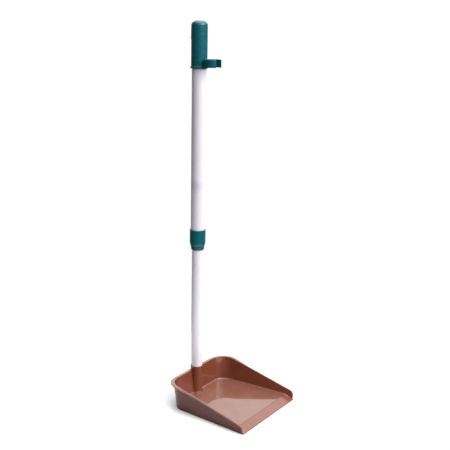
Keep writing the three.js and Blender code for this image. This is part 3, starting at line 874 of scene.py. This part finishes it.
        # Stations: the lip's strip, the nose, the side, then the corner and the back.
        strip = self.lip_y + np.array([0.0, 0.12, 0.3, 0.55, 1.0, 1.6])
        rim_nose, up_nose = self.rim_line()
        foot_nose = np.interp(
            np.linspace(0, 1, self.nose_stations), [0, 0.4, 0.8, 1],
            [self.front_y, self.fold_y - self.fold_margin, self.fold_y + self.fold_margin,
             self.nose_back],
        )
        side = np.linspace(self.nose_back, self.corner_y, 40)[1:]
        turn = np.linspace(0, np.pi / 2, 28)[1:]
        middle = np.array([float(self.half(self.corner_y)) - self.corner, self.corner_y])
        back_x = np.linspace(middle[0], 0, 24)[1:]
        round_out = np.stack([np.cos(turn), np.sin(turn)], axis=1)
        back_out = np.tile([0.0, 1.0], (len(back_x), 1))
        back = np.stack([back_x, np.full_like(back_x, self.back_y)], axis=1)
        bent = np.vstack([middle + self.corner * round_out, back])
        bent_out = np.vstack([round_out, back_out])
        slope = np.gradient(self.rim_height(side), side)
        up_side = np.stack([-slope, np.ones_like(slope)], axis=1) / np.hypot(1, slope)[:, None]
        up = np.vstack([np.tile([0.0, 1.0], (len(strip), 1)), up_nose, up_side,
                        np.tile([0.0, 1.0], (len(bent), 1))])
        plain = np.concatenate([side, bent[:, 1]])
        foot_y = np.concatenate([strip, foot_nose, plain])[:, None]
        rim_y = np.concatenate([strip, rim_nose[:, 0], plain])[:, None]
        rim_z = np.concatenate([self.floor_top(strip), rim_nose[:, 1], self.rim_height(plain)])
        rim_z = rim_z[:, None]
        # Sizes that shrink to nothing where the wall does.
        foot_z = self.floor_top(foot_y)
        share = np.clip(np.hypot(rim_y - foot_y, rim_z - foot_z) / self.full_wall, 0, 1)
        share[:len(strip)] = 0
        fillet, edge, thick = self.fillet * share, self.edge * share, self.flange_thickness * share
        fade = smooth_step((self.corner_y - foot_y) / self.flange_fade)
        flange = self.flange_back + (self.flange_side - self.flange_back) * fade
        flange = flange * np.clip(share * 1.6, 0, 1)
        tip = np.minimum(edge, flange * 0.45)
        web = np.minimum(self.flange_fillet * share, np.maximum(flange - tip, 0) * 0.8)
        # The inside: fillet, wall and the rim's inner edge.
        section = Section(np.hstack([rim_y, rim_z]), up, share, self.droop)
        inner, zero = -self.wall, np.zeros_like(share)
        bow = np.linspace(0, np.pi / 2, 7)[None]
        section.put(inner - fillet * (1 - np.sin(bow)), foot_y, foot_z + fillet * (1 - np.cos(bow)),
                    -np.sin(2 * bow))
        top_y, top_z = rim_y - edge * up[:, :1], rim_z - edge * up[:, 1:]
        t = np.linspace(0, 1, 12)[None, 1:-1]
        section.put(inner, foot_y + (top_y - foot_y) * t,
                    foot_z + fillet + (top_z - foot_z - fillet) * t)
        section.turn((inner, edge), (inner, zero), (inner + edge, zero), 1)
        section.hang(inner + edge + (flange - tip - inner - edge) * np.array([[0.33, 0.67]]), zero)
        # The flange's tip and underside, and the outside down to the skirt's edge.
        section.turn((flange - tip, zero), (flange, zero), (flange, tip), 1)
        section.turn((flange, thick - tip), (flange, thick), (flange - tip, thick), 1)
        section.turn((web, thick), (zero, thick), (zero, thick + web), -1)
        matt_and_shaded_from = section.width
        low_y, low_z = rim_y - (thick + web) * up[:, :1], rim_z - (thick + web) * up[:, 1:]
        base = np.minimum(self.skirt_edge, foot_z * 0.4)
        t = np.linspace(0, 1, 14)[None, 1:-1]
        section.put(zero, low_y + (foot_y - low_y) * t, low_z + (base - low_z) * t)
        t = np.linspace(0, 1, 4)[None]
        section.put(-base * t * t, foot_y, base * (1 - t) ** 2, 4 * t * (1 - t))
        matt_and_shaded_to = section.width
        # The step up to the floor's underside.
        under_z = self.floor_under(foot_y)
        section.put(inner + self.under_step, foot_y, zero)
        section.put(inner, foot_y, np.minimum(self.under_step, under_z))
        section.put(inner, foot_y, under_z, -1)
        offset, forward, height, wear = np.moveaxis(np.concatenate(section.blocks, axis=1), 2, 0)
        out = offset + self.draft * height
        straight = len(foot_y) - len(bent)
        x, y = self.half(forward) + out, forward.copy()
        x[straight:] = bent[:, :1] + bent_out[:, :1] * out[straight:]
        y[straight:] = bent[:, 1:] + bent_out[:, 1:] * out[straight:]
        shell = np.stack([x, y, height], axis=2)
        # The floor's two faces run from the middle line, or from one point for the bent rows.
        spine_y = np.minimum(foot_y, self.corner_y)
        across = np.linspace(0, 1, 22)[:-1] ** 0.75
        sheets = []
        for end, level in ((shell[:, 0], self.floor_top), (shell[:, -1], self.floor_under)):
            sheet_y = spine_y + (end[:, 1:2] - spine_y) * across
            sheets.append(np.stack([end[:, :1] * across, sheet_y, level(sheet_y)], axis=2))
        grid = np.concatenate([sheets[0], shell, sheets[1][:, ::-1]], axis=1)
        wear = np.pad(wear, ((0, 0), (len(across), len(across))))
        # The columns of the matt outside, where the finish paints shade.
        matt_and_shaded = np.zeros(grid.shape[:2])
        matt_and_shaded[:, len(across) + matt_and_shaded_from:len(across) + matt_and_shaded_to] = 1.0
        return grid, wear, matt_and_shaded

    def shell(self) -> None:
        """Both halves of the pan, the left one mirrored, closed at the lip's front face."""
        half = self.half_shell()
        grid, wear, matt_and_shaded = (np.concatenate([part, part[-2::-1]]) for part in half)
        grid[len(half[0]):, :, 0] *= -1
        numbers = self.skin.lattice(grid, wear, outward=False, outside=matt_and_shaded)
        self.skin.lid(numbers[0])
        self.skin.lid(numbers[-1], False)

    def socket(self) -> None:
        """The socket: a drafted sleeve with a floor, whose foot flares softly onto the pan's."""
        top, radius, bore = self.socket_height, self.socket_radius, self.socket_bore
        corners = np.array([
            [0, 0], [radius - self.socket_draft, 0], [radius, top], [bore, top],
            [bore, self.socket_floor], [0, self.socket_floor],
        ])
        line, bend = densify(*soften(corners, [0, 0.8, 0.7, 0.5, 0.5, 0], 5), 2.0)
        angle = full_turn(128)
        above = line[:, 1] - self.floor_back - 0.4
        flare = self.flare * np.clip(1 - above / self.flare_height, 0, 1) ** 2.2
        flare[line[:, 0] <= bore + 0.4] = 0
        forwards = smooth_step(-np.sin(angle) * 1.6)[:, None]
        grid = around(angle, line[:, 0] + flare * forwards, line[:, 1])
        self.skin.lattice(grid, bend, wrap_rows=True)

    def boss(self) -> None:
        """The flat round boss behind the socket: a washer turned about a level axis."""
        start = self.socket_bore + 0.3
        corners = np.array([
            [self.boss_bore, start], [self.boss_radius + self.boss_foot, start],
            [self.boss_radius, self.boss_face], [self.boss_bore, self.boss_face],
        ])
        line, bend = soften(corners, [0, 0, 0.5, 0.3], closed=True)
        grid = laid_over(around(full_turn(48), line[:, 0], line[:, 1]), self.boss_height)
        self.skin.lattice(grid, bend, wrap_rows=True, wrap_columns=True)

    def build(self) -> None:
        """Makes the moulding and dresses it."""
        self.shell()
        self.socket()
        self.boss()
        self.skin.lay_down(Finishes.PAN, "foot", "pan_plastic", "pan")


@dataclass
class Pole:
    """The two coated tubes, with rolled-over ends."""

    wall: float = 0.7
    roll: float = 0.3

    def tube(self, name: str, node: str, body: str) -> None:
        """One tube, turned from its outside line and its bore, on the node's own box.

        Args:
            name: the piece's name.
            node: the node it stands for.
            body: the body it rides on.
        """
        low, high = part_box(node)
        radius = (high.x - low.x) / 2 / MM
        corners = rectangle(radius - self.wall, radius, low.z / MM, high.z / MM)
        skin = Skin(name)
        skin.turn(*outline(corners, self.roll, 3, 12.0))
        skin.lay_down(Finishes.TUBE, body, "white_coated_steel", node)

    def build(self) -> None:
        """Makes both tubes."""
        self.tube("lower_tube_coated", "lower_tube", "foot")
        self.tube("upper_tube_coated", "upper_tube", "upper")


@dataclass
class Coupling:
    """The collar over the upper tube's end and the guide bush below it."""

    foot: float = 344.0
    tube_radius: float = 15.0
    gap: float = 0.3
    collar_wall: float = 1.6
    above: float = 29.0
    ledge: float = 5.5
    taper: float = 4.0
    taper_fullness: float = 0.9
    ledge_bore: float = 14.15
    split_wall: float = 1.0
    nose: float = 9.0
    nose_wall: float = 1.2
    bore: float = 12.5
    spigot: float = 38.0
    spigot_radius: float = 14.0

    def collar(self) -> None:
        """The collar: a straight sleeve that narrows in a full curve towards the bush."""
        seat = self.tube_radius + self.gap
        outer, split = seat + self.collar_wall, self.ledge_bore + self.split_wall
        low, high, stop = self.foot - self.ledge, self.foot + self.above, self.foot - self.gap
        t = np.linspace(0, 1, 9)
        full = np.sin(t * np.pi / 2) ** self.taper_fullness
        curve = [split + (outer - split) * full, low + (self.taper + self.ledge) * t]
        rest = [[outer, high], [seat, high], [seat, stop], [self.ledge_bore, stop],
                [self.ledge_bore, low]]
        corners = np.vstack([np.stack(curve, axis=1), rest])
        skin = Skin("collar_sleeve")
        skin.turn(*outline(corners, [0.3, *[0] * 8, 0.9, 0.4, 0.2, 0.2, 0.2], 4, 2.5))
        skin.lay_down(Finishes.GRIP, "upper", "teal_plastic", "collar")

    def bush(self) -> None:
        """The bush: a tapered nose, a neck and a plain spigot round the lower tube."""
        low, top = self.foot - self.ledge, self.foot + self.spigot
        neck, brim = self.ledge_bore - self.gap, self.ledge_bore + self.split_wall - self.gap / 2
        corners = np.array([
            [self.bore, low - self.nose], [self.bore + self.nose_wall, low - self.nose],
            [brim, low - self.gap], [neck, low - self.gap], [neck, self.foot],
            [self.spigot_radius, self.foot], [self.spigot_radius, top], [self.bore, top],
        ])
        skin = Skin("guide_bush_nose")
        skin.turn(*outline(corners, [0.2, 0.6, 0.3, 0.1, 0.1, 0.1, 0.6, 0.2], 4, 3.0))
        skin.lay_down(Finishes.GRIP, "upper", "teal_plastic", "guide_bush")

    def build(self) -> None:
        """Makes the collar and the bush."""
        self.collar()
        self.bush()


@dataclass
class Grip:
    """The grip: barrel with dome and foot ring, hanging flap behind, broom clip in front."""

    top: float = 800.0
    length: float = 93.5
    radius: float = 16.7
    seat_radius: float = 15.3
    seat_top: float = 752.3
    core_radius: float = 11.3
    core_bore: float = 8.0
    core_top: float = 788.0
    dome: float = 9.0
    squareness: float = 0.7
    ring_proud: float = 1.5
    ring_height: float = 4.0
    flap_top: float = 791.0
    flap_length: float = 29.0
    flap_half_degrees: float = 80.0
    flap_thickness: float = 2.8
    flap_proud: float = 0.6
    flap_cap: float = 0.7
    slit: float = 0.9
    rib_radius: float = 13.5
    rib_rise: float = 5.0
    rib_fade: float = 2.5
    entry_half_degrees: float = 25.0
    entry_fade: float = 0.12
    entry_length: float = 6.5
    clip_bore: float = 14.4
    clip_wall: float = 2.9
    clip_lift: float = 2.8
    clip_height: float = 16.0
    clip_mouth_half: float = 7.4
    clip_sink: float = 0.3
    web_half: float = 8.5
    web_drawn_half: float = 8.0
    web_pull: float = 1.2
    skin: Skin = field(default_factory=lambda: Skin("grip_moulding"))

    def __post_init__(self) -> None:
        """Works out where the grip's foot, the slit's floor and the clip's ends lie."""
        self.foot = self.top - self.length
        self.slit_foot = self.flap_top - self.flap_length - self.slit
        self.clip_foot = self.foot + self.clip_lift
        self.clip_top = self.clip_foot + self.clip_height
        self.clip_y = -(self.radius + self.clip_bore + self.clip_wall - self.clip_sink)

    def barrel_line(self, window: Array) -> tuple[Array, Array]:
        """The barrel's outside line, with set heights beside the flap's window.

        Args:
            window: the heights between the scoop's foot and the window's top.

        Returns:
            The [radius, height] rows and their bends.
        """
        ring = self.radius + self.ring_proud
        turn = np.linspace(0, np.pi / 2, 13)[1:-1]
        shoulder, ring_top = self.top - self.dome, self.foot + self.ring_height
        crown = [self.radius * np.cos(turn) ** self.squareness, shoulder + self.dome * np.sin(turn)]
        corners = np.vstack([
            [[self.seat_radius, self.foot], [ring, self.foot], [ring, ring_top],
             [self.radius, ring_top], [self.radius, shoulder - 0.01]],
            np.stack(crown, axis=1), [[0, self.top]],
        ])
        radii = [0.2, 0.7, 1.0, 1.0] + [0] * (len(corners) - 4)
        line, bend = densify(*soften(corners, radii), 2.0)
        before = line[:, 1] < window[0] - 0.5
        after = line[:, 1] > window[-1] - 0.05
        plain = np.stack([np.full_like(window, self.radius), window], axis=1)
        rows = np.vstack([line[before], plain, line[after]])
        return rows, np.concatenate([bend[before], 0 * window, bend[after]])

    def barrel(self) -> None:
        """The barrel: a turned profile whose outside steps in to the core behind the flap.

        The outside radius is a function of the angle and the height. Inside the flap's
        window it is the core's, and below the window's middle it slopes out again to the
        barrel, which makes the scoop that leads a hook in. Beside the scoop a rib stands
        behind and under the slit. Lines and heights are doubled a hair apart at the
        window's sides, so that its edges are crisp.
        """
        hair, margin = 0.02, 0.25
        low, high = self.slit_foot, self.flap_top
        scoop_foot = low - self.entry_length
        heights = np.unique(np.concatenate([
            np.linspace(scoop_foot, low - margin, 9), low + np.array([0, hair, 0.7, 0.84]),
            np.linspace(low + hair, high - hair, 16), [high, high + margin],
        ]))
        outer, wear = self.barrel_line(heights)
        half = math.radians(self.flap_half_degrees)
        step = hair / self.radius
        sides = np.array([half - step, half, half + margin / self.radius])
        even = (full_turn(120) + np.pi) % (2 * np.pi) - np.pi
        fine = np.linspace(-0.5, 0.5, 61)
        signed = np.unique(np.round(np.concatenate([even, sides, -sides, fine]), 6))
        off, z = np.abs(signed)[:, None], outer[:, 1][None]
        in_window = (off < half - step / 2) & (z > low + hair / 2) & (z < high - hair / 2)
        entry = smooth_step((math.radians(self.entry_half_degrees) - off) / self.entry_fade)
        slope = np.clip((z - scoop_foot) / self.entry_length, 0, 1)
        scoop = np.where(z <= low + hair / 2, slope * entry, 0)
        depth = self.radius - self.core_radius
        rise = smooth_step((low + self.rib_rise - z) / self.rib_fade)
        behind = (self.rib_radius - self.core_radius) * rise
        rib = np.where(z < low + 0.8, depth - 1.0, behind) * (1 - entry)
        radial = outer[:, 0] - np.where(in_window, depth - rib, depth * scoop)
        angle = signed + np.pi / 2
        self.skin.lattice(around(angle, radial, outer[:, 1]), wear, wrap_rows=True)
        bore = np.array([
            [0, self.core_top], [self.core_bore, self.core_top], [self.core_bore, self.seat_top],
            [self.seat_radius, self.seat_top], [self.seat_radius, self.foot],
        ])
        hollow, bend = densify(bore, np.zeros(len(bore)), 12.0)
        self.skin.lattice(around(angle, hollow[:, 0], hollow[:, 1]), bend, wrap_rows=True)

    def flap(self) -> None:
        """The hanging flap: a rounded bar's outline carried along an arc, its ends capped.

        The outline lies across the flap's thickness and height. In the caps it is pulled
        in by c (1 - cos t) while the arc runs on by c sin t, for t from 0 to a quarter turn.
        """
        inner, foot = self.radius - self.flap_thickness, self.flap_top - self.flap_length
        top = self.flap_top + self.flap_proud
        corners = np.array([
            [inner, foot], [self.radius + self.flap_proud, foot], [self.radius - 0.02, top],
            [inner, top],
        ])
        line, bend = outline(corners, [0.5, 0.8, 0.05, 0.05], 5, 2.5)
        half = math.radians(self.flap_half_degrees) - self.slit / self.radius
        turn = np.linspace(0, np.pi / 2, 5)
        ends = half - self.flap_cap / self.radius * (1 - np.sin(turn))
        shrink = self.flap_cap * (1 - np.cos(turn))
        signed = np.concatenate([-ends[::-1], np.linspace(-ends[0], ends[0], 42)[1:-1], ends])
        pull = np.concatenate([shrink[::-1], np.zeros(40), shrink])[:, None]
        radial = line[:, 0] - pull * np.sign(line[:, 0] - (inner + self.radius) / 2)
        height = line[:, 1] + pull * (line[:, 1] < (foot + self.flap_top) / 2)
        self.skin.strap(around(signed + np.pi / 2, radial, height), bend)

    def clip(self) -> None:
        """The broom clip: a rounded strap carried round an open arc, with round ends.

        The strap's section is a rectangle with softened corners. Along the arc it keeps its
        size, and at each end it closes in a half circle seen from above.
        """
        thick = self.clip_wall / 2
        middle = self.clip_bore + thick
        corners = rectangle(-thick, thick, self.clip_foot, self.clip_top)
        section, bend = outline(corners, 0.6, 4, 2.5)
        turn = np.linspace(0, np.pi / 2, 8)
        cap, scale = thick * np.sin(turn) / middle, np.maximum(np.cos(turn), 0.02)
        tip = math.asin((self.clip_mouth_half + thick) / middle)
        start, end = tip - np.pi / 2, 1.5 * np.pi - tip
        arc = np.linspace(start, end, 96)[1:-1]
        angle = np.concatenate([start - cap[::-1], arc, end + cap])
        scales = np.concatenate([scale[::-1], np.ones_like(arc), scale])[:, None]
        radial = middle + section[:, 0] * scales
        self.skin.strap(around(angle, radial, section[:, 1], self.clip_y), bend)

    def web(self) -> None:
        """The web: an upright strap between the ring and the barrel, whose sides curve in.

        Seen from above its half width is w(y) = w0 - p (1 - u^2), where u runs from -1 at
        the ring to 1 at the barrel. The section is drawn at one width and scaled to w.
        """
        near = self.clip_y + math.sqrt((self.clip_bore + 1.0) ** 2 - self.web_half ** 2)
        far = -math.sqrt((self.radius - 0.8) ** 2 - self.web_half ** 2)
        u = np.linspace(-1, 1, 16)[:, None]
        half = self.web_half - self.web_pull * (1 - u ** 2)
        drawn = self.web_drawn_half
        corners = rectangle(-drawn, drawn, self.clip_foot + 0.3, self.clip_top - 0.3)
        section, bend = soften(corners, 0.7, closed=True)
        x = section[:, 0] / drawn * half
        y = near + (far - near) * (u + 1) / 2 + 0 * x
        self.skin.strap(np.stack([x, y, section[:, 1] + 0 * x], axis=2), bend, outward=False)

    def build(self) -> None:
        """Makes the moulding and dresses it."""
        self.barrel()
        self.flap()
        self.clip()
        self.web()
        self.skin.lay_down(Finishes.GRIP, "upper", "teal_plastic", "grip")


@dataclass
class SocketScrew:
    """The screw behind the socket: a domed head with a cross recess on a plain shank."""

    height: float = 28.0
    seat: float = 14.7
    head_radius: float = 3.4
    head_height: float = 2.3
    head_rim: float = 0.8
    squareness: float = 0.7
    shank: float = 1.5
    point: float = 6.5
    slot_half: float = 0.45
    slot_reach: float = 2.0
    slot_depth: float = 1.1
    slot_side: float = 0.12
    slot_end: float = 0.4

    def build(self) -> None:
        """A turned profile along +Y whose crown is pressed in by a cross.

        The depth is the slot's wherever |x| or |z| is under its half width and the other
        is under its reach.
        """
        turn = np.linspace(0, np.pi / 2, 30)
        rim, rise = self.seat + self.head_rim, self.head_height - self.head_rim
        crown = [self.head_radius * np.cos(turn) ** self.squareness, rim + rise * np.sin(turn)]
        crown[0][-1] = 0
        profile = np.vstack([
            [[0, self.point], [self.shank, self.point + self.shank], [self.shank, self.seat],
             [self.head_radius, self.seat]],
            np.stack(crown, axis=1),
        ])
        line, bend = densify(profile, np.zeros(len(profile)), 0.22)
        turned = around(full_turn(144), line[:, 0], line[:, 1])
        flat = np.sort(np.abs(turned[..., :2]), axis=2)
        side = np.clip((self.slot_half - flat[..., 0]) / self.slot_side, 0, 1)
        end = np.clip((self.slot_reach - flat[..., 1]) / self.slot_end, 0, 1)
        turned[..., 2] -= self.slot_depth * side * end * (line[:, 1] > rim)
        skin = Skin("socket_screw_plated")
        skin.lattice(laid_over(turned, self.height), bend, wrap_rows=True)
        skin.lay_down(Finishes.SCREW, "foot", "zinc_plated_steel", "socket_screw")


@dataclass
class TwistLock:
    """The lock inside the pole: its plug and its slotted expander keep their own shapes."""

    nodes: tuple[str, ...] = ("lock_plug", "lock_expander")

    def build(self) -> None:
        """Dresses the two pieces in acetal."""
        for name in self.nodes:
            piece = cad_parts[name]
            piece.data.materials.clear()
            piece.data.materials.append(Finishes.LOCK.value.material())
            LOG.info("%s: dressed", name)


# --------------------------------------------------------------------------- stage

@dataclass
class Studio:
    """A pale floor, a soft bright room, three soft boxes and the camera; lengths in metres."""

    azimuth: float = -54.748
    elevation: float = 14.243
    roll: float = 1.026
    distance: float = 1.76775
    focal: float = 63.933
    sensor: float = 36.0
    target: tuple[float, float, float] = (0.09945, 0.0, 0.36236)
    dim_wall: float = 0.08
    bright_wall: float = 1.06
    dim_ceiling: float = 0.3
    bright_ceiling: float = 1.7
    floor_radius: float = 0.42
    aim_height: float = 0.25

    def axes(self) -> tuple[Vector, Vector, Vector]:
        """The camera's right, up and backward directions.

        Returns:
            The three unit vectors.
        """
        turn, tilt, roll = np.radians([self.azimuth, self.elevation, self.roll]).tolist()
        level = math.cos(tilt)
        back = Vector((math.sin(turn) * level, -math.cos(turn) * level, math.sin(tilt)))
        right = Vector((math.cos(turn), math.sin(turn), 0))
        up = back.cross(right)
        cos, sin = math.cos(roll), math.sin(roll)
        return right * cos + up * sin, up * cos - right * sin, back

    def camera(self) -> None:
        """Places the camera on its target."""
        data = bpy.data.cameras.new("studio_camera")
        data.sensor_width = self.sensor
        data.lens = self.focal
        data.clip_end = 60.0
        camera = bpy.data.objects.new("studio_camera", data)
        right, up, back = self.axes()
        turned = Matrix((right, up, back)).transposed().to_4x4()
        place = Vector(self.target) + back * self.distance
        camera.matrix_world = Matrix.Translation(place) @ turned
        bpy.context.scene.collection.objects.link(camera)
        bpy.context.scene.camera = camera

    def floor(self) -> None:
        """A round sheet of paper under the object, set a fifth of a radius forward."""
        turn = full_turn(96)
        ring = self.floor_radius * np.stack([np.cos(turn), np.sin(turn) - 0.2, 0 * turn], axis=1)
        mesh = bpy.data.meshes.new("paper_floor")
        mesh.from_pydata(ring.tolist(), [], [list(range(len(ring)))])
        mesh.materials.append(Finishes.FLOOR.value.material())
        floor = bpy.data.objects.new("paper_floor", mesh)
        bpy.context.scene.collection.objects.link(floor)

    def soft_box(self, name: str, place: Vector, size: float, watts: float) -> None:
        """A square soft box that faces the middle of the object.

        Args:
            name: its name.
            place: where it hangs.
            size: its side.
            watts: its power.
        """
        data = bpy.data.lights.new(name, "AREA")
        data.shape = "SQUARE"
        data.size = size
        data.energy = watts
        light = bpy.data.objects.new(name, data)
        aim = Vector((0, 0, self.aim_height)) - place
        light.rotation_euler = aim.to_track_quat("-Z", "Y").to_euler()
        light.location = place
        bpy.context.scene.collection.objects.link(light)

    def room(self) -> None:
        """The room: a white sweep behind the object, a dim room in front, a bright ceiling.

        Near the horizon the brightness follows the cosine m between a direction and the
        sweep's middle: dim below m = 0.65, full above m = 0.87. Higher up it turns into the
        ceiling's, which changes more gently and is brightest to the right. The backdrop
        itself is plain white from every side.
        """
        world = bpy.data.worlds.new("soft_room")
        bpy.context.scene.world = world
        world.use_nodes = True
        tree = world.node_tree
        tree.nodes.clear()
        right, _, back = self.axes()
        where = add(tree, "TexCoord", {}).outputs["Generated"]
        parts = []
        for rightward, band in (
            (0.0, (0.65, 0.87, self.dim_wall, self.bright_wall)),
            (1.4, (-0.5, 0.5, self.dim_ceiling, self.bright_ceiling)),
        ):
            aim = Vector((right.x, right.y, 0)) * rightward - Vector((back.x, back.y, 0))
            toward = tuple(aim.normalized())
            cosine = add(tree, "VectorMath", [where, toward], operation="DOT_PRODUCT")
            soft = [cosine.outputs["Value"], *band]
            parts.append(add(tree, "MapRange", soft, interpolation_type="SMOOTHSTEP"))
        height = add(tree, "SeparateXYZ", [where]).outputs["Z"]
        level = add(tree, "MapRange", [height, 0.12, 0.45, *parts], interpolation_type="SMOOTHSTEP")
        seen = add(tree, "LightPath", {}).outputs["Is Camera Ray"]
        shown = add(tree, "Mix", {0: seen, 2: level, 3: self.bright_wall})
        shade = add(tree, "Background", {"Color": (1, 1, 1, 1), "Strength": shown})
        add(tree, "OutputWorld", {"Surface": shade})

    def build(self) -> None:
        """Sets the stage."""
        bpy.context.scene.view_settings.view_transform = "Standard"
        self.camera()
        self.floor()
        self.room()
        right, _, back = self.axes()
        beside = Vector((right.x, right.y, 0)).normalized()
        behind = Vector((back.x, back.y, 0)).normalized()
        above = Vector((0, 0, 1.6))
        self.soft_box("key_box", beside * 1.38 + behind * 0.72 + above, 1.0, 25.0)
        self.soft_box("fill_box", beside * 0.8 + behind * 1.4 + above, 1.2, 19.0)
        self.soft_box("top_box", Vector((0.1, 0, 2.4)), 1.4, 22.0)


def main() -> None:
    """Builds every part in turn and sets the stage."""
    logging.basicConfig(level=logging.INFO, format="%(name)s: %(message)s")
    for part in (Studio(), Pan(), Pole(), Coupling(), Grip(), SocketScrew(), TwistLock()):
        part.build()


if __name__ == "__main__":
    main()
